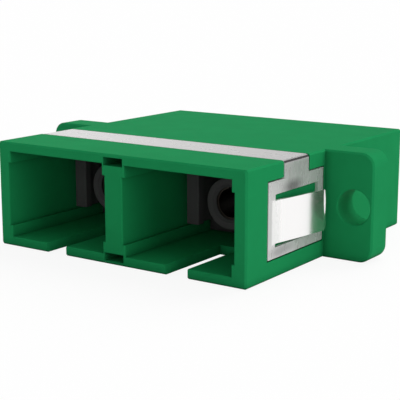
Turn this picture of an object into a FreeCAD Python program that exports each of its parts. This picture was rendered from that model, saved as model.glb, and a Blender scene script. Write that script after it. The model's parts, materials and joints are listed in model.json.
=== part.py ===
import FreeCAD, Part
import math
import os
import Sketcher

# Duplex SC fibre adapter for a panel, in millimetres.
#
# Frame: +Z up, the lower face of the housing at Z = 0, X across the two ports, and Y along
# the fibres. Y = 0 is the plane where the two housing halves are welded, and the half that
# carries the panel clip points to -Y.
#
# Two moulded housing halves close round four sleeve holders, two back to back in each port.
# Each pair of holders traps one split alignment sleeve. A folded spring clip wraps the top
# and the two sides of the front half, and its tongues snap behind a panel against the flange.

SIZES = [
    ("body_width", 25.8, "outside width of the housing"),
    ("body_height", 9.25, "outside height of the housing and of the flange"),
    ("body_length", 27.2, "length from port mouth to port mouth"),
    ("body_edge_bevel", 0.15, "bevel of the outside edges"),
    ("flange_width", 34.8, "width over the two flange ears"),
    ("flange_thickness", 2.8, "thickness of the whole flange, half on each housing"),
    ("flange_corner_radius", 1.2, "rounding of the corners of the ears"),
    ("screw_spacing", 31.25, "distance between the two screw holes"),
    ("screw_hole_diameter", 3.0, "clearance hole for a panel screw"),
    ("screw_hole_bevel", 0.08, "bevel at each end of a screw hole"),
    ("port_pitch", 12.7, "distance between the two fibre axes"),
    ("port_width", 10.35, "width of a port between its corner ribs"),
    ("port_height", 7.6, "height of a port"),
    ("port_edge_bevel", 0.08, "bevel round the mouth of a port"),
    ("rib_height", 1.0, "height of the ribs in the corners of a port"),
    ("side_relief", 0.25, "depth of the relief between the ribs of a port wall"),
    ("key_slot_width", 2.2, "width of the slot for the key of a plug"),
    ("key_slot_length", 7.93, "length of the key slot from the mouth"),
    ("web_pocket_width", 2.0, "width of the core-outs in the web between the ports"),
    ("web_pocket_height", 0.7, "height of a web core-out"),
    ("web_pocket_depth", 3.0, "depth of a web core-out"),
    ("web_pocket_skin", 0.27, "skin between a web core-out and the outside"),
    ("seat_clearance", 0.05, "gap round the plate of a sleeve holder in its seat"),
    ("plate_width", 11.3, "width of the plate of a sleeve holder"),
    ("plate_height", 8.1, "height of the plate of a sleeve holder"),
    ("plate_thickness", 1.2, "thickness of the plate of a sleeve holder"),
    ("boss_diameter", 4.4, "outside of the boss round the sleeve"),
    ("boss_chamfer", 0.08, "chamfer at the end of the boss"),
    ("boss_lip", 0.35, "thickness of the lip that keeps the sleeve in"),
    ("ferrule_hole_diameter", 2.8, "hole in the lip that the ferrule passes"),
    ("ferrule_hole_chamfer", 0.25, "lead-in of the ferrule hole"),
    ("hook_reach", 6.0, "end of a latch hook, from the weld plane"),
    ("hook_height", 4.5, "height of a latch hook"),
    ("hook_outer", 4.35, "outside of a latch hook, from the fibre axis"),
    ("hook_thickness", 0.75, "thickness of the arm of a latch hook"),
    ("hook_nose", 0.44, "how far the nose stands in from the arm"),
    ("hook_nose_length", 0.7, "length of the nose along the fibre"),
    ("hook_bevel", 0.1, "bevel at the end of the nose"),
    ("sleeve_diameter", 3.2, "outside of the split sleeve"),
    ("sleeve_bore", 2.495, "inside of the split sleeve"),
    ("sleeve_length", 11.4, "length of the split sleeve"),
    ("sleeve_slit", 0.5, "width of the slit in the sleeve"),
    ("sleeve_clearance", 0.05, "gap round and at each end of the sleeve"),
    ("clip_thickness", 0.25, "sheet of the panel clip"),
    ("clip_clearance", 0.12, "gap round the edges of the clip in its recess"),
    ("clip_fold_radius", 0.1, "inside radius of the folds of the clip"),
    ("band_setback", 2.39, "front edge of the band, behind that of a side plate"),
    ("band_width", 3.86, "width of the band over the top"),
    ("side_plate_setback", 0.33, "rear edge of a side plate, in front of the flange"),
    ("side_plate_length", 8.74, "length of a side plate"),
    ("side_plate_bottom", 2.995, "lower edge of a side plate, below the fibre axes"),
    ("side_plate_height", 6.19, "height of a side plate"),
    ("window_front_strip", 1.06, "metal in front of the window"),
    ("window_rear_strip", 0.89, "metal behind the window"),
    ("window_lower_strip", 0.86, "metal below the window"),
    ("window_upper_strip", 1.075, "metal above the window"),
    ("tongue_width", 3.45, "width of a tongue"),
    ("tongue_drop", 0.1, "middle of a tongue, below the middle of its window"),
    ("tongue_root_run", 0.6, "length of the bend at the root of a tongue"),
    ("tongue_root_rise", 0.058, "how far the bend at the root stands out"),
    ("tongue_crest_run", 6.11, "root of the tongue to its crest"),
    ("tongue_crest_rise", 0.93, "how far the crest stands out"),
    ("tongue_tip_run", 6.67, "root of the tongue to its tip"),
    ("tongue_tip_rise", 0.885, "how far the tip stands out"),
    ("tongue_root_radius", 3.1, "bend at the root of a tongue"),
    ("tongue_bow_radius", 80.0, "gentle bow of a tongue from its root to its crest"),
    ("tongue_crest_radius", 1.4, "bend from the crest to the tip of a tongue"),
    ("tongue_corner_radius", 0.5, "rounded corners of the tip"),
]

# Places worked out from the sizes above, as expressions of the sheet.
HALF_WIDTH = "(Sizes.body_width / 2)"
HALF_LENGTH = "(Sizes.body_length / 2)"
MID_HEIGHT = "(Sizes.body_height / 2)"
HALF_PITCH = "(Sizes.port_pitch / 2)"
PORT_FLOOR = "((Sizes.body_height - Sizes.port_height) / 2)"
PORT_ROOF = "((Sizes.body_height + Sizes.port_height) / 2)"
BORE_DEPTH = "(Sizes.sleeve_length / 2 + Sizes.sleeve_clearance)"
BOSS_REACH = f"({BORE_DEPTH} + Sizes.boss_lip)"
SIDE_REAR = "(-Sizes.flange_thickness / 2 - Sizes.side_plate_setback)"
SIDE_FRONT = f"({SIDE_REAR} - Sizes.side_plate_length)"
SIDE_BOTTOM = f"({MID_HEIGHT} - Sizes.side_plate_bottom)"
SIDE_TOP = f"({SIDE_BOTTOM} + Sizes.side_plate_height)"
BAND_FRONT = f"({SIDE_FRONT} + Sizes.band_setback)"
WINDOW_FRONT = f"({SIDE_FRONT} + Sizes.window_front_strip)"
WINDOW_REAR = f"({SIDE_REAR} - Sizes.window_rear_strip)"
WINDOW_BOTTOM = f"({SIDE_BOTTOM} + Sizes.window_lower_strip)"
WINDOW_TOP = f"({SIDE_TOP} - Sizes.window_upper_strip)"
TONGUE_MIDDLE = f"(({WINDOW_BOTTOM} + {WINDOW_TOP}) / 2 - Sizes.tongue_drop)"

# A cut that opens a face runs this far past it.
OVERCUT = 1.0
NEAR = 1e-4
SIDES = (("right", 1), ("left", -1))

doc = FreeCAD.newDocument("sc_adapter")
sheet = doc.addObject("Spreadsheet::Sheet", "Sizes")


def fill_sheet():
    """Write each size, its alias and what it is into the sheet."""
    for row, (alias, size, meaning) in enumerate(SIZES, start=1):
        sheet.set(f"A{row}", alias)
        sheet.set(f"B{row}", str(size))
        sheet.setAlias(f"B{row}", alias)
        sheet.set(f"C{row}", meaning)
    doc.recompute()


def number(expression):
    """The value that an expression of the sheet has now."""
    return float(sheet.evalExpression(str(expression)))


def new_body(name):
    body = doc.addObject("PartDesign::Body", name)
    body.Label = name
    return body


def new_sketch(body, name, plane, offset="0"):
    """A sketch on one of the body's own origin planes, moved along its normal."""
    sketch = body.newObject("Sketcher::SketchObject", name)
    support = [item for item in body.Origin.OriginFeatures if item.Role == plane]
    sketch.AttachmentSupport = [(support[0], "")]
    sketch.MapMode = "FlatFace"
    sketch.setExpression("AttachmentOffset.Base.z", str(offset))
    return sketch


def fix_point(sketch, geometry, point, x, y):
    """Tie one point of a sketch to two expressions."""
    for kind, place in (("DistanceX", x), ("DistanceY", y)):
        rule = Sketcher.Constraint(kind, -1, 1, geometry, point, number(place))
        index = sketch.addConstraint(rule)
        sketch.setExpression(f"Constraints[{index}]", str(place))


def add_side(sketch, start, end, radius=None, side=1):
    """A line, or an arc whose centre is on the left (1) or right (-1) of the way.

    Returns the geometry's index, then the index of its first and of its last point.
    """
    if radius is None:
        return sketch.addGeometry(Part.LineSegment(start, end)), 1, 2
    chord = end - start
    left = FreeCAD.Vector(-chord.y, chord.x, 0).normalize()
    reach = number(radius)
    rise = math.sqrt(max(reach ** 2 - (chord.Length / 2) ** 2, 0))
    centre = (start + end) / 2 + left * rise * side
    first, last = (start, end) if side > 0 else (end, start)
    begin = math.atan2(first.y - centre.y, first.x - centre.x)
    finish = math.atan2(last.y - centre.y, last.x - centre.x)
    if finish < begin:
        finish += 2 * math.pi
    circle = Part.Circle(centre, FreeCAD.Vector(0, 0, 1), reach)
    arc = sketch.addGeometry(Part.ArcOfCircle(circle, begin, finish))
    rule = sketch.addConstraint(Sketcher.Constraint("Radius", arc, reach))
    sketch.setExpression(f"Constraints[{rule}]", str(radius))
    return (arc, 1, 2) if side > 0 else (arc, 2, 1)


def add_outline(sketch, corners):
    """A closed outline. Each corner is a pair of expressions, and may be followed by the
    radius and the side of an arc that leads to the next corner."""
    points = [FreeCAD.Vector(number(corner[0]), number(corner[1]), 0) for corner in corners]
    sides = []
    for index, corner in enumerate(corners):
        following = points[(index + 1) % len(points)]
        sides.append(add_side(sketch, points[index], following, *corner[2:]))
    for index, (geometry, first, last) in enumerate(sides):
        fix_point(sketch, geometry, first, *corners[index][:2])
        joined, joint, _ = sides[(index + 1) % len(sides)]
        sketch.addConstraint(Sketcher.Constraint("Coincident", geometry, last, joined, joint))


def add_rectangle(sketch, x_low, x_high, y_low, y_high):
    add_outline(sketch, [(x_low, y_low), (x_high, y_low), (x_high, y_high), (x_low, y_high)])


def add_circle(sketch, x, y, diameter):
    centre = FreeCAD.Vector(number(x), number(y), 0)
    circle = Part.Circle(centre, FreeCAD.Vector(0, 0, 1), number(diameter) / 2)
    index = sketch.addGeometry(circle)
    fix_point(sketch, index, 3, x, y)
    rule = sketch.addConstraint(Sketcher.Constraint("Diameter", index, number(diameter)))
    sketch.setExpression(f"Constraints[{rule}]", str(diameter))


def settle(body, feature):
    """Work the document out again, and stop if this feature or its solid is broken."""
    doc.recompute()
    if not feature.isValid() or not body.Shape.isValid():
        raise RuntimeError(f"{feature.Name} failed")


def add_pad(body, sketch, length, reverse=False):
    pad = body.newObject("PartDesign::Pad", f"{sketch.Name}_pad")
    pad.Profile = sketch
    pad.setExpression("Length", str(length))
    pad.Reversed = reverse
    settle(body, pad)


def add_pocket(body, sketch, depth, reverse=False):
    """Cut the sketch's outline, and make sure that the cut took something away."""
    before = body.Shape.Volume
    pocket = body.newObject("PartDesign::Pocket", f"{sketch.Name}_pocket")
    pocket.Profile = sketch
    pocket.setExpression("Length", str(depth))
    pocket.Reversed = reverse
    settle(body, pocket)
    if body.Shape.Volume > before - NEAR:
        raise RuntimeError(f"{pocket.Name} cuts nothing")


def edges_where(body, test):
    """Names of the body's edges that pass a test of their two end points."""
    names = []
    for index, edge in enumerate(body.Shape.Edges, start=1):
        ends = [vertex.Point for vertex in edge.Vertexes]
        if len(ends) == 1:
            ends = ends * 2
        if test(*ends):
            names.append(f"Edge{index}")
    return names


def dress(body, kind, name, edges, size, size_name):
    """Round or chamfer the named edges of the body's last feature."""
    if not edges:
        raise RuntimeError(f"{name} found no edges")
    base = body.Tip
    feature = body.newObject(f"PartDesign::{kind}", name)
    feature.Base = (base, edges)
    feature.setExpression(size_name, str(size))
    settle(body, feature)


def add_fillet(body, name, edges, radius):
    dress(body, "Fillet", name, edges, radius, "Radius")


def add_chamfer(body, name, edges, size):
    dress(body, "Chamfer", name, edges, size, "Size")


def same(first, second):
    return abs(first - second) < NEAR


def add_flange_half(body):
    """Half of the flange, with a screw hole in each ear and bevelled edges."""
    ears = new_sketch(body, f"{body.Name}_ears", "XZ_Plane")
    add_rectangle(ears, "-Sizes.flange_width / 2", "Sizes.flange_width / 2",
                  "0", "Sizes.body_height")
    add_pad(body, ears, "Sizes.flange_thickness / 2")
    ear_edge = number("Sizes.flange_width / 2")

    def on_ear_corner(start, end):
        along = same(start.x, end.x) and same(start.z, end.z)
        return along and same(abs(start.x), ear_edge)

    corners = edges_where(body, on_ear_corner)
    add_fillet(body, f"{body.Name}_ear_corners", corners, "Sizes.flange_corner_radius")
    holes = new_sketch(body, f"{body.Name}_screw_holes", "XZ_Plane")
    for _, sign in SIDES:
        add_circle(holes, f"{sign} * Sizes.screw_spacing / 2", MID_HEIGHT,
                   "Sizes.screw_hole_diameter")
    add_pocket(body, holes, "Sizes.flange_thickness", reverse=True)
    face = number("-Sizes.flange_thickness / 2")
    rims = edges_where(body, lambda start, end: same(start.y, face) and start == end)
    add_chamfer(body, f"{body.Name}_screw_rims", rims, "Sizes.screw_hole_bevel")
    bevel_outline(body, "ear_edges", "-Sizes.flange_thickness / 2")


def add_block(body):
    """The outer block of one half, from the weld plane to the mouth of the ports."""
    bevel = "Sizes.body_edge_bevel"
    low, high = bevel, f"(Sizes.body_height - {bevel})"
    inside = f"({HALF_WIDTH} - {bevel})"
    block = new_sketch(body, f"{body.Name}_block", "XZ_Plane")
    add_outline(block, [
        (f"-{inside}", "0"), (inside, "0"), (HALF_WIDTH, low), (HALF_WIDTH, high),
        (inside, "Sizes.body_height"), (f"-{inside}", "Sizes.body_height"),
        (f"-{HALF_WIDTH}", high), (f"-{HALF_WIDTH}", low)])
    add_pad(body, block, HALF_LENGTH)
    bevel_outline(body, "end_edges", f"-{HALF_LENGTH}")


def bevel_outline(body, name, place):
    """Bevel the outline of the flat face that lies at one place along the fibres."""
    level = number(place)

    def on_outline(start, end):
        return same(start.y, level) and same(end.y, level) and start != end

    add_chamfer(body, f"{body.Name}_{name}", edges_where(body, on_outline),
                "Sizes.body_edge_bevel")


def add_ports(body):
    """The two ports, the reliefs in their walls, their key slots and the holder seats."""
    port = new_sketch(body, f"{body.Name}_ports", "XZ_Plane", HALF_LENGTH)
    relief = "(Sizes.port_width / 2 + Sizes.side_relief)"
    inner = "(Sizes.port_width / 2)"
    low = f"({PORT_FLOOR} + Sizes.rib_height)"
    high = f"({PORT_ROOF} - Sizes.rib_height)"
    for _, sign in SIDES:
        axis = f"{sign} * {HALF_PITCH}"
        left, left_relief = f"{axis} - {inner}", f"{axis} - {relief}"
        right, right_relief = f"{axis} + {inner}", f"{axis} + {relief}"
        add_outline(port, [
            (left, PORT_FLOOR), (right, PORT_FLOOR),
            (right, low), (right_relief, low), (right_relief, high), (right, high),
            (right, PORT_ROOF), (left, PORT_ROOF),
            (left, high), (left_relief, high), (left_relief, low), (left, low)])
    add_pocket(body, port, HALF_LENGTH)

    slots = new_sketch(body, f"{body.Name}_key_slots", "XZ_Plane", HALF_LENGTH)
    for _, sign in SIDES:
        add_rectangle(slots, f"{sign} * {HALF_PITCH} - Sizes.key_slot_width / 2",
                      f"{sign} * {HALF_PITCH} + Sizes.key_slot_width / 2",
                      f"-{OVERCUT}", MID_HEIGHT)
    add_pocket(body, slots, "Sizes.key_slot_length")

    seats = new_sketch(body, f"{body.Name}_seats", "XZ_Plane")
    reach_x = "(Sizes.plate_width / 2 + Sizes.seat_clearance)"
    reach_z = "(Sizes.plate_height / 2 + Sizes.seat_clearance)"
    for _, sign in SIDES:
        axis = f"{sign} * {HALF_PITCH}"
        add_rectangle(seats, f"{axis} - {reach_x}", f"{axis} + {reach_x}",
                      f"{MID_HEIGHT} - {reach_z}", f"{MID_HEIGHT} + {reach_z}")
    add_pocket(body, seats, "Sizes.plate_thickness", reverse=True)


def add_web_pockets(body):
    """Shallow core-outs above and below the web between the ports."""
    pockets = new_sketch(body, f"{body.Name}_web_pockets", "XZ_Plane", HALF_LENGTH)
    half = "Sizes.web_pocket_width / 2"
    far = "(Sizes.web_pocket_skin + Sizes.web_pocket_height)"
    add_rectangle(pockets, f"-{half}", half, "Sizes.web_pocket_skin", far)
    add_rectangle(pockets, f"-{half}", half, f"Sizes.body_height - {far}",
                  "Sizes.body_height - Sizes.web_pocket_skin")
    add_pocket(body, pockets, "Sizes.web_pocket_depth")


def bevel_ports(body):
    """Break the edges of the ports in the mouth face."""
    mouth = -number(HALF_LENGTH)
    low = number(PORT_FLOOR) - NEAR
    high = number(PORT_ROOF) + NEAR

    def on_mouth(start, end):
        at_mouth = same(start.y, mouth) and same(end.y, mouth)
        return at_mouth and low < min(start.z, end.z) and max(start.z, end.z) < high

    edges = edges_where(body, on_mouth)
    add_chamfer(body, f"{body.Name}_port_edges", edges, "Sizes.port_edge_bevel")


def add_clip_recess(body):
    """A recess as deep as the sheet, over the top and down both sides of the front half."""
    gap = "Sizes.clip_clearance"
    depth = "Sizes.clip_thickness"
    band = new_sketch(body, f"{body.Name}_band_recess", "XZ_Plane", f"-{BAND_FRONT} + {gap}")
    inside_x = f"({HALF_WIDTH} - {depth})"
    outside_x = f"({HALF_WIDTH} + {OVERCUT})"
    inside_z = f"(Sizes.body_height - {depth})"
    outside_z = f"(Sizes.body_height + {OVERCUT})"
    add_outline(band, [
        (f"-{outside_x}", SIDE_TOP), (f"-{inside_x}", SIDE_TOP), (f"-{inside_x}", inside_z),
        (inside_x, inside_z), (inside_x, SIDE_TOP), (outside_x, SIDE_TOP),
        (outside_x, outside_z), (f"-{outside_x}", outside_z)])
    add_pocket(body, band, f"Sizes.band_width + 2 * {gap}")
    for side, sign in SIDES:
        plate = new_sketch(body, f"{body.Name}_{side}_recess", "YZ_Plane",
                           f"{sign} * {HALF_WIDTH}")
        add_rectangle(plate, f"{SIDE_FRONT} - {gap}", f"{SIDE_REAR} + {gap}",
                      f"{SIDE_BOTTOM} - {gap}", f"{SIDE_TOP} + {gap}")
        add_pocket(body, plate, depth, reverse=sign < 0)

    corner_x = number(inside_x)
    corner_z = number(inside_z)

    def on_fold(start, end):
        at_x = same(abs(start.x), corner_x) and same(start.x, end.x)
        return at_x and same(start.z, corner_z) and same(end.z, corner_z)

    folds = edges_where(body, on_fold)
    add_fillet(body, f"{body.Name}_fold_edges", folds, f"Sizes.clip_fold_radius + {gap}")


def make_housing(name, rear):
    """One moulded half. The rear half is turned round and has no recess for the clip."""
    body = new_body(name)
    add_flange_half(body)
    add_block(body)
    add_ports(body)
    bevel_ports(body)
    add_web_pockets(body)
    if not rear:
        add_clip_recess(body)
    turn = 180 if rear else 0
    body.Placement = FreeCAD.Placement(FreeCAD.Vector(), FreeCAD.Rotation(turn, 0, 0))
    return body


def make_holder(name, sign, rear):
    """Plate, boss and two latch hooks, drawn round the fibre axis and moved into a port."""
    body = new_body(name)
    plate = new_sketch(body, f"{name}_plate", "XZ_Plane")
    add_rectangle(plate, "-Sizes.plate_width / 2", "Sizes.plate_width / 2",
                  "-Sizes.plate_height / 2", "Sizes.plate_height / 2")
    add_pad(body, plate, "Sizes.plate_thickness")
    boss = new_sketch(body, f"{name}_boss", "XZ_Plane")
    add_circle(boss, "0", "0", "Sizes.boss_diameter")
    add_pad(body, boss, BOSS_REACH)

    hooks = new_sketch(body, f"{name}_hooks", "XY_Plane", "-Sizes.hook_height / 2")
    outer = "Sizes.hook_outer"
    arm = "(Sizes.hook_outer - Sizes.hook_thickness)"
    nose = f"({arm} - Sizes.hook_nose)"
    end = "-Sizes.hook_reach"
    root = "-Sizes.plate_thickness / 2"
    ramp = f"({end} + Sizes.hook_bevel + Sizes.hook_nose_length)"
    for _, side in SIDES:
        add_outline(hooks, [
            (f"{side} * {outer}", root), (f"{side} * {outer}", end),
            (f"{side} * ({nose} + Sizes.hook_bevel)", end),
            (f"{side} * {nose}", f"{end} + Sizes.hook_bevel"),
            (f"{side} * {nose}", ramp), (f"{side} * {arm}", f"{ramp} + Sizes.hook_nose"),
            (f"{side} * {arm}", root)])
    add_pad(body, hooks, "Sizes.hook_height")

    bore = new_sketch(body, f"{name}_bore", "XZ_Plane")
    add_circle(bore, "0", "0", "Sizes.sleeve_diameter + 2 * Sizes.sleeve_clearance")
    add_pocket(body, bore, BORE_DEPTH, reverse=True)
    hole = new_sketch(body, f"{name}_ferrule_hole", "XZ_Plane")
    add_circle(hole, "0", "0", "Sizes.ferrule_hole_diameter")
    add_pocket(body, hole, f"{BOSS_REACH} + {OVERCUT}", reverse=True)

    boss_end = -number(BOSS_REACH)

    def rim_of(diameter):
        radius = number(diameter) / 2

        def test(start, end):
            reach = (start.x ** 2 + start.z ** 2) ** 0.5
            return same(reach, radius) and same(start.y, boss_end) and same(end.y, boss_end)
        return test

    add_chamfer(body, f"{name}_boss_rim", edges_where(body, rim_of("Sizes.boss_diameter")),
                "Sizes.boss_chamfer")
    add_chamfer(body, f"{name}_lead_in",
                edges_where(body, rim_of("Sizes.ferrule_hole_diameter")),
                "Sizes.ferrule_hole_chamfer")
    place_in_port(body, sign, 180 if rear else 0)
    return body


def place_in_port(body, sign, turn):
    """Put a piece that was drawn round the fibre axis onto the axis of its port."""
    body.Placement = FreeCAD.Placement(FreeCAD.Vector(), FreeCAD.Rotation(turn, 0, 0))
    body.setExpression("Placement.Base.x", f"{sign} * {HALF_PITCH}")
    body.setExpression("Placement.Base.z", MID_HEIGHT)


def make_sleeve(name, sign):
    """A drawn metal tube with one slit, centred on the weld plane."""
    body = new_body(name)
    tube = new_sketch(body, f"{name}_tube", "XZ_Plane", "-Sizes.sleeve_length / 2")
    add_circle(tube, "0", "0", "Sizes.sleeve_diameter")
    add_circle(tube, "0", "0", "Sizes.sleeve_bore")
    add_pad(body, tube, "Sizes.sleeve_length")
    slit = new_sketch(body, f"{name}_slit", "XZ_Plane", "Sizes.sleeve_length / 2")
    add_rectangle(slit, "-Sizes.sleeve_slit / 2", "Sizes.sleeve_slit / 2",
                  "0", "Sizes.sleeve_diameter")
    add_pocket(body, slit, "Sizes.sleeve_length")
    place_in_port(body, sign, 0)
    return body


def add_tongue(body, side, sign):
    """The spring tongue of one side plate, bowed out of its window."""
    bottom = f"({TONGUE_MIDDLE} - Sizes.tongue_width / 2)"
    top = f"({TONGUE_MIDDLE} + Sizes.tongue_width / 2)"
    sketch = new_sketch(body, f"{body.Name}_{side}_tongue", "XY_Plane", bottom)
    start = f"{WINDOW_FRONT} - Sizes.window_front_strip / 2"
    root = f"{WINDOW_FRONT} + Sizes.tongue_root_run"
    crest = f"{WINDOW_FRONT} + Sizes.tongue_crest_run"
    tip = f"({WINDOW_FRONT} + Sizes.tongue_tip_run)"
    root_bend = "Sizes.tongue_root_radius"
    bow = "Sizes.tongue_bow_radius"
    crest_bend = "Sizes.tongue_crest_radius"

    def out(rise, depth="0"):
        return f"{sign} * ({HALF_WIDTH} + {rise} - {depth})"

    sheet_back = "Sizes.clip_thickness"
    add_outline(sketch, [
        (out("0"), start),
        (out("0"), WINDOW_FRONT, root_bend, -sign),
        (out("Sizes.tongue_root_rise"), root, bow, sign),
        (out("Sizes.tongue_crest_rise"), crest, crest_bend, sign),
        (out("Sizes.tongue_tip_rise"), tip),
        (out("Sizes.tongue_tip_rise", sheet_back), tip, crest_bend, -sign),
        (out("Sizes.tongue_crest_rise", sheet_back), crest, bow, -sign),
        (out("Sizes.tongue_root_rise", sheet_back), root, root_bend, sign),
        (out("0", sheet_back), WINDOW_FRONT),
        (out("0", sheet_back), start)])
    add_pad(body, sketch, "Sizes.tongue_width")

    corners = new_sketch(body, f"{body.Name}_{side}_tip", "YZ_Plane", f"{sign} * {HALF_WIDTH}")
    radius = "Sizes.tongue_corner_radius"
    for edge, way in ((top, 1), (bottom, -1)):
        past = f"{edge} + {way * OVERCUT}"
        inside = f"{edge} - {way} * {radius}"
        add_outline(corners, [
            (f"{tip} - {radius}", edge, radius, -way), (tip, inside),
            (f"{tip} + {OVERCUT}", inside), (f"{tip} + {OVERCUT}", past),
            (f"{tip} - {radius}", past)])
    add_pocket(body, corners, f"Sizes.tongue_crest_rise + {OVERCUT}", reverse=sign > 0)


def make_clip(name):
    """One folded strip: a band over the top, a plate on each side and a tongue in each."""
    body = new_body(name)
    thickness = "Sizes.clip_thickness"
    band = new_sketch(body, f"{name}_band", "XZ_Plane", f"-{BAND_FRONT}")
    inside_x = f"({HALF_WIDTH} - {thickness})"
    inside_z = f"(Sizes.body_height - {thickness})"
    add_outline(band, [
        (f"-{HALF_WIDTH}", SIDE_TOP), (f"-{inside_x}", SIDE_TOP), (f"-{inside_x}", inside_z),
        (inside_x, inside_z), (inside_x, SIDE_TOP), (HALF_WIDTH, SIDE_TOP),
        (HALF_WIDTH, "Sizes.body_height"), (f"-{HALF_WIDTH}", "Sizes.body_height")])
    add_pad(body, band, "Sizes.band_width", reverse=True)

    def fold_at(x_place, z_place):
        fold_x = number(x_place)
        fold_z = number(z_place)

        def test(start, end):
            at_x = same(abs(start.x), fold_x) and same(start.x, end.x)
            return at_x and same(start.z, fold_z) and same(end.z, fold_z)
        return test

    add_fillet(body, f"{name}_inner_folds", edges_where(body, fold_at(inside_x, inside_z)),
               "Sizes.clip_fold_radius")
    add_fillet(body, f"{name}_outer_folds",
               edges_where(body, fold_at(HALF_WIDTH, "Sizes.body_height")),
               f"Sizes.clip_fold_radius + {thickness}")
    for side, sign in SIDES:
        plate = new_sketch(body, f"{name}_{side}_plate", "YZ_Plane", f"{sign} * {inside_x}")
        add_rectangle(plate, SIDE_FRONT, SIDE_REAR, SIDE_BOTTOM, SIDE_TOP)
        add_rectangle(plate, WINDOW_FRONT, WINDOW_REAR, WINDOW_BOTTOM, WINDOW_TOP)
        add_pad(body, plate, thickness, reverse=sign < 0)
        add_tongue(body, side, sign)
    return body


def check_document(pieces):
    """Stop on any failed feature, and on any piece that isn't one valid solid."""
    doc.recompute()
    for item in doc.Objects:
        if "Invalid" in item.State or "Error" in item.State:
            raise RuntimeError(f"{item.Name} failed: {item.State}")
    for piece in pieces:
        shape = piece.Shape
        if shape.isNull() or not shape.isValid() or len(shape.Solids) != 1:
            raise RuntimeError(f"{piece.Label} isn't one valid solid")


def export_pieces(pieces):
    os.makedirs("parts", exist_ok=True)
    for piece in pieces:
        piece.Shape.exportStep(f"parts/{piece.Label}.step")
        box = piece.Shape.BoundBox
        print(f"{piece.Label}: {piece.Shape.Volume:.3f} mm3, X {box.XMin:.3f} to "
              f"{box.XMax:.3f}, Y {box.YMin:.3f} to {box.YMax:.3f}, "
              f"Z {box.ZMin:.3f} to {box.ZMax:.3f}")


fill_sheet()
pieces = [make_housing("front_housing", False), make_housing("rear_housing", True)]
pieces.append(make_clip("panel_clip"))
for side, sign in SIDES:
    pieces.append(make_holder(f"{side}_front_sleeve_holder", sign, False))
    pieces.append(make_holder(f"{side}_rear_sleeve_holder", sign, True))
    pieces.append(make_sleeve(f"{side}_split_sleeve", sign))
check_document(pieces)
export_pieces(pieces)
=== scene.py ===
import json
import math

import bpy
from mathutils import Matrix, Vector

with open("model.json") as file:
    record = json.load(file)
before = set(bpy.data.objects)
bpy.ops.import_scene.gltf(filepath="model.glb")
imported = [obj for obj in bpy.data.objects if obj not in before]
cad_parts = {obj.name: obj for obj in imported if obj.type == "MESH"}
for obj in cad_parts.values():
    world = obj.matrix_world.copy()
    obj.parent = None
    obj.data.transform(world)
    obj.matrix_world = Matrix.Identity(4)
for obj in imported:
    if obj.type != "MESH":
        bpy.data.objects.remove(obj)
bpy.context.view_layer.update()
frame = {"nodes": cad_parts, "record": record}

# Looks of a duplex SC fibre adapter: satin green mouldings, a rolled steel clip, dark
# sleeve holders and bronze sleeves. Lengths are in metres, in the frame of the model.

MM = 0.001
DEGREES = math.degrees(1)

# Blender's noise seldom leaves this range.
NOISE_SPAN = (0.3, 0.7)

# Camera: a long lens in front of the right corner, a little above the part.
CAMERA_PLACE = Vector((54.737, -79.816, 23.304)) * MM
CAMERA_YAW = math.radians(-34.838)
CAMERA_PITCH = math.radians(11.749)
CAMERA_ROLL = math.radians(-0.003)
LENS_MM = 96.490
SENSOR_MM = 36.0

# Light: an even room and three soft lamps. One is low on the right, one is high behind, and a
# weak one in front reaches into the ports.
ROOM_LEVEL = 0.416
LAMPS = [
    # name, azimuth and elevation in degrees, spread in degrees, strength
    ("right_lamp", 0, 20, 50, 1.04),
    ("back_lamp", 90, 50, 50, 1.63),
    ("front_lamp", -60, 14, 18, 0.20),
]

# What gloss sees of the studio: a white room with grey and dark cards in it. Each card is
# a span of azimuth and of elevation in degrees, how soft its edge is, and how bright it is.
# The floor hides what is below the horizon.
CARDS = [
    ((42.8, 76), (-60, 15), 1.2, 0.36),
    ((40, 125), (22, 60), 4.0, 0.04),
    ((96, 127), (-5, 20), 6.0, 0.60),
    ((-75, 0), (-60, 25), 12.0, 0.55),
    ((-168, -105), (-60, 25), 12.0, 0.55),
]

# The floor lies just below the part. Its tone is what it gives back to the part, and its glow
# is the share of what is seen of it that is plain white.
FLOOR_SIZE = 6.0
FLOOR_DROP = 0.02 * MM
FLOOR_TONE = 0.8
FLOOR_SEEN_GLOW = 0.9

GREEN = (0.0125, 0.262, 0.086)
DARK = (0.074, 0.070, 0.073)
STEEL = (0.93, 0.92, 0.915)
# Painted shade: the bronze is given a near-black colour, so the sleeves stay as dark as the
# bore's shade.
SHADED_BRONZE = (0.04, 0.032, 0.027)

# Painted shade: mouldings are painted darker in a crease or a gap narrower than this reach.
# The span is how open a place is where it is darkest, and where it stops being darker.
CREASE_REACH = 0.8 * MM
CREASE_SPAN = (0.3, 0.96)
PAINTED_CREASE_SHADE_TONE = 0.5
CREASE_SAMPLES = 8

# The clip's steel. Tones are shares of its colour.
STRIP_TONES = (0.72, 0.76)
# Painted shade: the neck tone darkens the upper side plates near the band.
NECK_SHADE_TONE = 0.6
# Painted reflection: the fold tone makes a dark line on the sharp folds.
FOLD_REFLECTION_TONE = 0.06
# This tone serves the polished tongues and also paints a highlight at their roots.
POLISH_AND_HIGHLIGHT_TONE = 1.04
# The middle share is the metal of the painted highlight at the tongues' roots.
STRIP_METAL, ROOT_HIGHLIGHT_METAL, TONGUE_METAL = 0.42, 0.1, 0.95
STRIP_ROUGHNESS = (0.24, 0.32)
TONGUE_ROUGHNESS = 0.15
EDGE_ROUGHER = 0.2

# Which way a face looks, as a share of straight along Y for a sheared edge, which gets a
# painted highlight, and of straight up for the painted dark reflection on the sharp folds at
# the ends of the band.
EDGE_FACING = (0.85, 0.95)
FOLD_REFLECTION_FACING = (0.3, 0.4, 0.72, 0.84)

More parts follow.
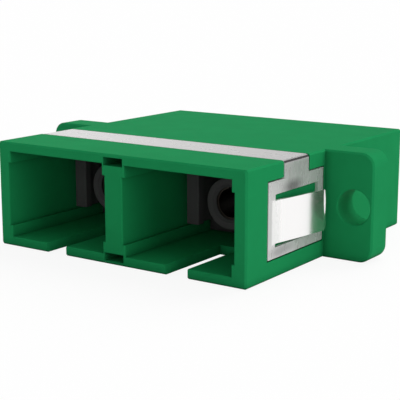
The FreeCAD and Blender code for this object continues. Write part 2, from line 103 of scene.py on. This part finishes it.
# The tongues stand out past the side plates from here, measured from the middle. The root
# of each, in front of its window, carries a painted highlight. Its spans along Y and Z say
# where the painted highlight starts, is full, starts to fade and ends.
TONGUE_START = (12.93 * MM, 12.99 * MM)
ROOT_HIGHLIGHT_Y = (-10.0 * MM, -9.8 * MM, -8.42 * MM, -8.32 * MM)
ROOT_HIGHLIGHT_Z = (2.65 * MM, 2.85 * MM, 6.2 * MM, 6.4 * MM)

# Painted shade: the neck between the band and the side plate is painted darker over these
# heights.
NECK_SHADE_Z = (6.0 * MM, 8.2 * MM)

# Painted reflections: soft dark patches on each side plate stand in for reflections. The
# middle of each in Y and Z, its reach each way and its tone.
PAINTED_REFLECTION_SOFTNESS = 0.6
PAINTED_REFLECTIONS = [
    ((-6.7 * MM, 7.0 * MM), (1.25 * MM, 0.5 * MM), 0.252),
    ((-8.7 * MM, 2.05 * MM), (1.5 * MM, 0.42 * MM), 0.4464),
]


def scaled(colour, factor):
    return tuple(channel * factor for channel in colour)


class Nodes:
    """A short way to write one material's node tree."""

    def __init__(self, name):
        self.material = bpy.data.materials.new(name)
        self.material.use_nodes = True
        self.tree = self.material.node_tree
        self.tree.nodes.clear()
        self.output = self.add("ShaderNodeOutputMaterial")

    def add(self, kind, **settings):
        node = self.tree.nodes.new(kind)
        for key, value in settings.items():
            setattr(node, key, value)
        return node

    def put(self, value, socket):
        """Set a socket to a plain value, or link another socket to it."""
        if isinstance(value, bpy.types.NodeSocket):
            self.tree.links.new(value, socket)
        else:
            socket.default_value = value

    def shader(self, **inputs):
        """A Principled shader wired to the output. An input's name has _ for each space."""
        node = self.add("ShaderNodeBsdfPrincipled")
        for key, value in inputs.items():
            name = key.replace("_", " ")
            self.put(value, node.inputs[name])
        self.tree.links.new(node.outputs[0], self.output.inputs["Surface"])
        return node

    def place(self, stretch=(1, 1, 1)):
        """Where a point is in the model, in metres, stretched along each axis."""
        where = self.add("ShaderNodeTexCoord").outputs["Object"]
        if stretch == (1, 1, 1):
            return where
        node = self.add("ShaderNodeVectorMath", operation="MULTIPLY")
        self.put(where, node.inputs[0])
        node.inputs[1].default_value = stretch
        return node.outputs[0]

    def split(self, vector):
        """The X, Y and Z of a vector."""
        node = self.add("ShaderNodeSeparateXYZ")
        self.put(vector, node.inputs[0])
        return node.outputs

    def noise(self, where, size, detail=3.0, roughness=0.55):
        """Noise from 0 to 1 whose blobs are about this large, in metres."""
        node = self.add("ShaderNodeTexNoise")
        self.put(where, node.inputs["Vector"])
        node.inputs["Scale"].default_value = 1 / size
        node.inputs["Detail"].default_value = detail
        node.inputs["Roughness"].default_value = roughness
        return node.outputs["Fac"]

    def ranged(self, value, low, high, start, end):
        """From low to high as a value goes from start to end, and no further."""
        node = self.add("ShaderNodeMapRange")
        self.put(value, node.inputs["Value"])
        node.inputs["From Min"].default_value = start
        node.inputs["From Max"].default_value = end
        node.inputs["To Min"].default_value = low
        node.inputs["To Max"].default_value = high
        return node.outputs["Result"]

    def between(self, value, start, full, fade, end):
        """0 up to start, 1 from full to fade and 0 again from end."""
        return self.math("MULTIPLY", self.ranged(value, 0, 1, start, full),
                         self.ranged(value, 1, 0, fade, end))

    def math(self, operation, *values):
        node = self.add("ShaderNodeMath", operation=operation)
        for value, socket in zip(values, node.inputs):
            self.put(value, socket)
        return node.outputs[0]

    def mixed_value(self, share, first, second):
        """The first number where the share is 0, and the second where it is 1."""
        node = self.add("ShaderNodeMix", data_type="FLOAT")
        self.put(share, node.inputs["Factor"])
        self.put(first, node.inputs["A"])
        self.put(second, node.inputs["B"])
        return node.outputs["Result"]

    def blend(self, share, first, second):
        """The first colour where the share is 0, and the second where it is 1."""
        node = self.add("ShaderNodeMix", data_type="RGBA")
        self.put(share, node.inputs["Factor"])
        self.put((*first, 1) if isinstance(first, tuple) else first, node.inputs["A"])
        self.put((*second, 1) if isinstance(second, tuple) else second, node.inputs["B"])
        return node.outputs["Result"]

    def mottled(self, clouds, colour, darkest, lightest):
        """A colour that varies between two shares of itself."""
        share = self.ranged(clouds, 0, 1, *NOISE_SPAN)
        return self.blend(share, scaled(colour, darkest), scaled(colour, lightest))

    def spot(self, across, upward, middle, reach, softness):
        """1 inside an oval and 0 outside, with a soft edge."""
        squares = []
        for value, centre, radius in zip((across, upward), middle, reach):
            offset = self.math("SUBTRACT", value, centre)
            offset = self.math("DIVIDE", offset, radius)
            squares.append(self.math("MULTIPLY", offset, offset))
        distance = self.math("SQRT", self.math("ADD", *squares))
        return self.ranged(distance, 1, 0, 1 - softness, 1 + softness)

    def bump(self, height, depth, under=None, strength=1.0):
        """Bump this deep in metres, on top of another bump if one is given."""
        node = self.add("ShaderNodeBump")
        self.put(height, node.inputs["Height"])
        node.inputs["Distance"].default_value = depth
        self.put(strength, node.inputs["Strength"])
        if under is not None:
            self.put(under, node.inputs["Normal"])
        return node.outputs["Normal"]


def moulded_plastic(name, colour, roughness, specular):
    """Satin moulding: a fine spark-eroded grain over very slight waves, with painted shade in
    creases and gaps.
    """
    nodes = Nodes(name)
    where = nodes.place()
    grain = nodes.noise(where, size=0.09 * MM, detail=4.0, roughness=0.6)
    waves = nodes.noise(where, size=4.0 * MM, detail=2.0)
    clouds = nodes.noise(where, size=2.2 * MM, detail=4.0)
    normal = nodes.bump(waves, depth=0.02 * MM, strength=0.5)
    normal = nodes.bump(grain, depth=0.0016 * MM, under=normal, strength=0.8)
    tint = nodes.mottled(clouds, colour, darkest=0.965, lightest=1.035)
    # Painted shade: the colour is taken darker where occlusion finds a crease or a gap.
    crease = nodes.add("ShaderNodeAmbientOcclusion", samples=CREASE_SAMPLES)
    crease.inputs["Distance"].default_value = CREASE_REACH
    painted_crease_shade = nodes.ranged(crease.outputs["AO"], 1, 0, *CREASE_SPAN)
    nodes.shader(
        Base_Color=nodes.blend(painted_crease_shade, tint, scaled(colour, PAINTED_CREASE_SHADE_TONE)),
        Roughness=nodes.ranged(grain, roughness - 0.05, roughness + 0.05, *NOISE_SPAN),
        Normal=normal, Specular_IOR_Level=specular)
    return nodes.material


def rolled_steel(name, colour):
    """Satin rolled strip, polished bright on the tongues, with a painted highlight at their
    roots.
    The rolling lines follow the strip over its folds, the sharp folds carry a painted dark
    reflection, soft painted reflections lie on the side plates, painted shade darkens the
    neck, and the edges that face along Y are rougher than the faces and carry a painted
    highlight."""
    nodes = Nodes(name)
    where = nodes.split(nodes.place())
    facing = nodes.split(nodes.add("ShaderNodeNewGeometry").outputs["Normal"])
    sideways = nodes.math("ABSOLUTE", facing["X"])
    edge = nodes.ranged(nodes.math("ABSOLUTE", facing["Y"]), 0, 1, *EDGE_FACING)
    fold_reflection = nodes.between(facing["Z"], *FOLD_REFLECTION_FACING)
    tongue = nodes.ranged(nodes.math("ABSOLUTE", where["X"]), 0, 1, *TONGUE_START)
    root_highlight = nodes.math("MULTIPLY", nodes.between(where["Z"], *ROOT_HIGHLIGHT_Z),
                      nodes.between(where["Y"], *ROOT_HIGHLIGHT_Y))
    rolled = nodes.math("SUBTRACT", 1.0, nodes.math("MAXIMUM", tongue, root_highlight))

    along = nodes.place((0.02, 1, 0.02))
    lines = nodes.noise(along, size=0.035 * MM, detail=5.0, roughness=0.65)
    waves = nodes.noise(nodes.place(), size=2.5 * MM, detail=2.0)
    clouds = nodes.noise(nodes.place((0.3, 1, 0.3)), size=0.8 * MM, detail=4.0)
    normal = nodes.bump(waves, depth=0.006 * MM, strength=nodes.math("MULTIPLY", rolled, 0.2))
    normal = nodes.bump(lines, depth=0.0004 * MM, under=normal,
                        strength=nodes.math("MULTIPLY", rolled, 0.07))

    tone = nodes.mottled(clouds, colour, *STRIP_TONES)
    # Painted shade, darker towards the band on the side plates.
    neck_shade = nodes.math("MULTIPLY", nodes.ranged(where["Z"], 0, 1, *NECK_SHADE_Z), sideways)
    tone = nodes.blend(neck_shade, tone, scaled(colour, NECK_SHADE_TONE))
    # Painted reflections: dark patches on the side plates.
    for middle, reach, reflection_tone in PAINTED_REFLECTIONS:
        painted_reflection = nodes.spot(where["Y"], where["Z"], middle, reach, PAINTED_REFLECTION_SOFTNESS)
        painted_reflection = nodes.math("MULTIPLY", painted_reflection, sideways)
        tone = nodes.blend(painted_reflection, tone, scaled(colour, reflection_tone))
    # Painted highlight at the tongues' roots; the tongues themselves are polished steel.
    tone = nodes.blend(root_highlight, tone, scaled(colour, POLISH_AND_HIGHLIGHT_TONE))
    tone = nodes.blend(tongue, tone, scaled(colour, POLISH_AND_HIGHLIGHT_TONE))
    # Painted highlight: the edges that face along Y get the steel's full colour.
    tone = nodes.blend(edge, tone, colour)

    # The painted highlight at the roots is nearly non-metal.
    metal = nodes.mixed_value(root_highlight, STRIP_METAL, ROOT_HIGHLIGHT_METAL)
    face = nodes.ranged(clouds, *STRIP_ROUGHNESS, *NOISE_SPAN)
    face = nodes.mixed_value(tongue, face, TONGUE_ROUGHNESS)
    # Painted reflection: the sharp folds get a dark line in the base colour.
    nodes.shader(
        Base_Color=nodes.blend(fold_reflection, tone, scaled(colour, FOLD_REFLECTION_TONE)),
        Metallic=nodes.mixed_value(tongue, metal, TONGUE_METAL),
        Roughness=nodes.math("MULTIPLY_ADD", edge, EDGE_ROUGHER, face),
        Normal=normal, Specular_IOR_Level=0.3)
    return nodes.material


def drawn_bronze(name, colour):
    """Drawn phosphor bronze with fine lines along the tube; its near-black colour is painted
    shade in the bore.
    """
    nodes = Nodes(name)
    lines = nodes.noise(nodes.place((1, 0.05, 1)), size=0.03 * MM, detail=4.0)
    clouds = nodes.noise(nodes.place(), size=0.6 * MM)
    nodes.shader(
        Base_Color=nodes.mottled(clouds, colour, darkest=0.85, lightest=1.1),
        Roughness=nodes.ranged(lines, 0.4, 0.55, *NOISE_SPAN),
        Normal=nodes.bump(lines, depth=0.0004 * MM), Metallic=1.0)
    return nodes.material


def pale_floor(name):
    """A white floor that meets a white background and keeps the object's shadow."""
    nodes = Nodes(name)
    path = nodes.add("ShaderNodeLightPath")
    seen = nodes.math("MAXIMUM", path.outputs["Is Camera Ray"], path.outputs["Is Glossy Ray"])
    seen = nodes.math("MAXIMUM", seen, path.outputs["Is Transmission Ray"])
    lit = nodes.add("ShaderNodeBsdfDiffuse")
    nodes.put(nodes.blend(seen, (FLOOR_TONE,) * 3, (1.0,) * 3), lit.inputs["Color"])
    white = nodes.add("ShaderNodeEmission")
    mixed = nodes.add("ShaderNodeMixShader")
    nodes.put(nodes.math("MULTIPLY", seen, FLOOR_SEEN_GLOW), mixed.inputs["Fac"])
    nodes.tree.links.new(lit.outputs[0], mixed.inputs[1])
    nodes.tree.links.new(white.outputs[0], mixed.inputs[2])
    nodes.tree.links.new(mixed.outputs[0], nodes.output.inputs["Surface"])
    return nodes.material


def dress(node, material):
    """Give a CAD node its finish."""
    for slot in node.material_slots:
        slot.material = material


def add_floor():
    mesh = bpy.data.meshes.new("floor")
    half = FLOOR_SIZE / 2
    mesh.from_pydata([(-half, -half, 0), (half, -half, 0), (half, half, 0), (-half, half, 0)],
                     [], [(0, 1, 2, 3)])
    floor = bpy.data.objects.new("floor", mesh)
    floor.location.z = -FLOOR_DROP
    bpy.context.scene.collection.objects.link(floor)
    mesh.materials.append(pale_floor("floor_white"))


class WorldNodes(Nodes):
    """The same short way to write the world's node tree."""

    def __init__(self, name):
        self.world = bpy.data.worlds.new(name)
        self.world.use_nodes = True
        self.tree = self.world.node_tree
        self.tree.nodes.clear()
        self.output = self.add("ShaderNodeOutputWorld")

    def inside(self, angle, span, softness):
        """1 where an angle is inside a span and 0 outside, with a soft edge."""
        low, high = span
        return self.between(angle, low - softness, low + softness,
                            high - softness, high + softness)

    def darkened(self, seen, share, tone):
        """The room as seen so far, taken down to a card's tone where the card is."""
        return self.math("MULTIPLY", self.math("MULTIPLY_ADD", share, tone - 1.0, 1.0), seen)


def add_world():
    """An even room light. The camera sees it white, and gloss sees the white room with its
    cards."""
    nodes = WorldNodes("studio")
    bpy.context.scene.world = nodes.world
    outward = nodes.split(nodes.add("ShaderNodeTexCoord").outputs["Generated"])
    turn = nodes.math("ARCTAN2", outward["Y"], outward["X"])
    azimuth = nodes.math("MULTIPLY", turn, DEGREES)
    elevation = nodes.math("MULTIPLY", nodes.math("ARCSINE", outward["Z"]), DEGREES)
    seen = 1.0
    for across, upward, softness, tone in CARDS:
        share = nodes.math("MULTIPLY", nodes.inside(azimuth, across, softness),
                           nodes.inside(elevation, upward, softness))
        seen = nodes.darkened(seen, share, tone)
    path = nodes.add("ShaderNodeLightPath")
    glossy = nodes.math("MAXIMUM", path.outputs["Is Glossy Ray"],
                        path.outputs["Is Transmission Ray"])
    level = nodes.mixed_value(glossy, ROOM_LEVEL, seen)
    level = nodes.mixed_value(path.outputs["Is Camera Ray"], level, 1.0)
    background = nodes.add("ShaderNodeBackground")
    background.inputs["Color"].default_value = (1, 1, 1, 1)
    nodes.put(level, background.inputs["Strength"])
    nodes.tree.links.new(background.outputs[0], nodes.output.inputs["Surface"])


def add_lamps():
    """Soft suns. Gloss doesn't see them, so that metal shows the room and not the lamps."""
    for name, azimuth, elevation, spread, strength in LAMPS:
        around, above = math.radians(azimuth), math.radians(elevation)
        lamp = bpy.data.lights.new(name, "SUN")
        lamp.energy = strength
        lamp.angle = math.radians(spread)
        holder = bpy.data.objects.new(name, lamp)
        place = Vector((math.cos(around) * math.cos(above),
                        math.sin(around) * math.cos(above), math.sin(above)))
        holder.rotation_mode = "QUATERNION"
        holder.rotation_quaternion = place.to_track_quat("Z", "Y")
        holder.visible_glossy = False
        bpy.context.scene.collection.objects.link(holder)


def add_camera():
    """It looks along +Y, turned to the right by the yaw and down by the pitch."""
    forward = Vector((math.sin(CAMERA_YAW) * math.cos(CAMERA_PITCH),
                      math.cos(CAMERA_YAW) * math.cos(CAMERA_PITCH),
                      -math.sin(CAMERA_PITCH)))
    level = Vector((math.cos(CAMERA_YAW), -math.sin(CAMERA_YAW), 0))
    upward = level.cross(forward)
    right = level * math.cos(CAMERA_ROLL) + upward * math.sin(CAMERA_ROLL)
    up = upward * math.cos(CAMERA_ROLL) - level * math.sin(CAMERA_ROLL)
    data = bpy.data.cameras.new("camera")
    data.sensor_width = SENSOR_MM
    data.lens = LENS_MM
    data.clip_start = 1 * MM
    data.clip_end = 2 * FLOOR_SIZE
    camera = bpy.data.objects.new("camera", data)
    turn = Matrix((right, up, -forward)).transposed().to_4x4()
    camera.matrix_world = Matrix.Translation(CAMERA_PLACE) @ turn
    bpy.context.scene.collection.objects.link(camera)
    bpy.context.scene.camera = camera


finishes = {
    "green_plastic": moulded_plastic("satin_green", GREEN, 0.62, 0.01),
    "dark_plastic": moulded_plastic("satin_dark", DARK, 0.5, 0.05),
    "spring_steel": rolled_steel("rolled_steel", STEEL),
    "sleeve_bronze": drawn_bronze("drawn_bronze", SHADED_BRONZE),
}
for subpart in frame["record"]["subparts"]:
    dress(frame["nodes"][subpart["node"]], finishes[subpart["material_slot"]])

add_floor()
add_world()
add_lamps()
add_camera()
bpy.context.scene.view_settings.view_transform = "Standard"
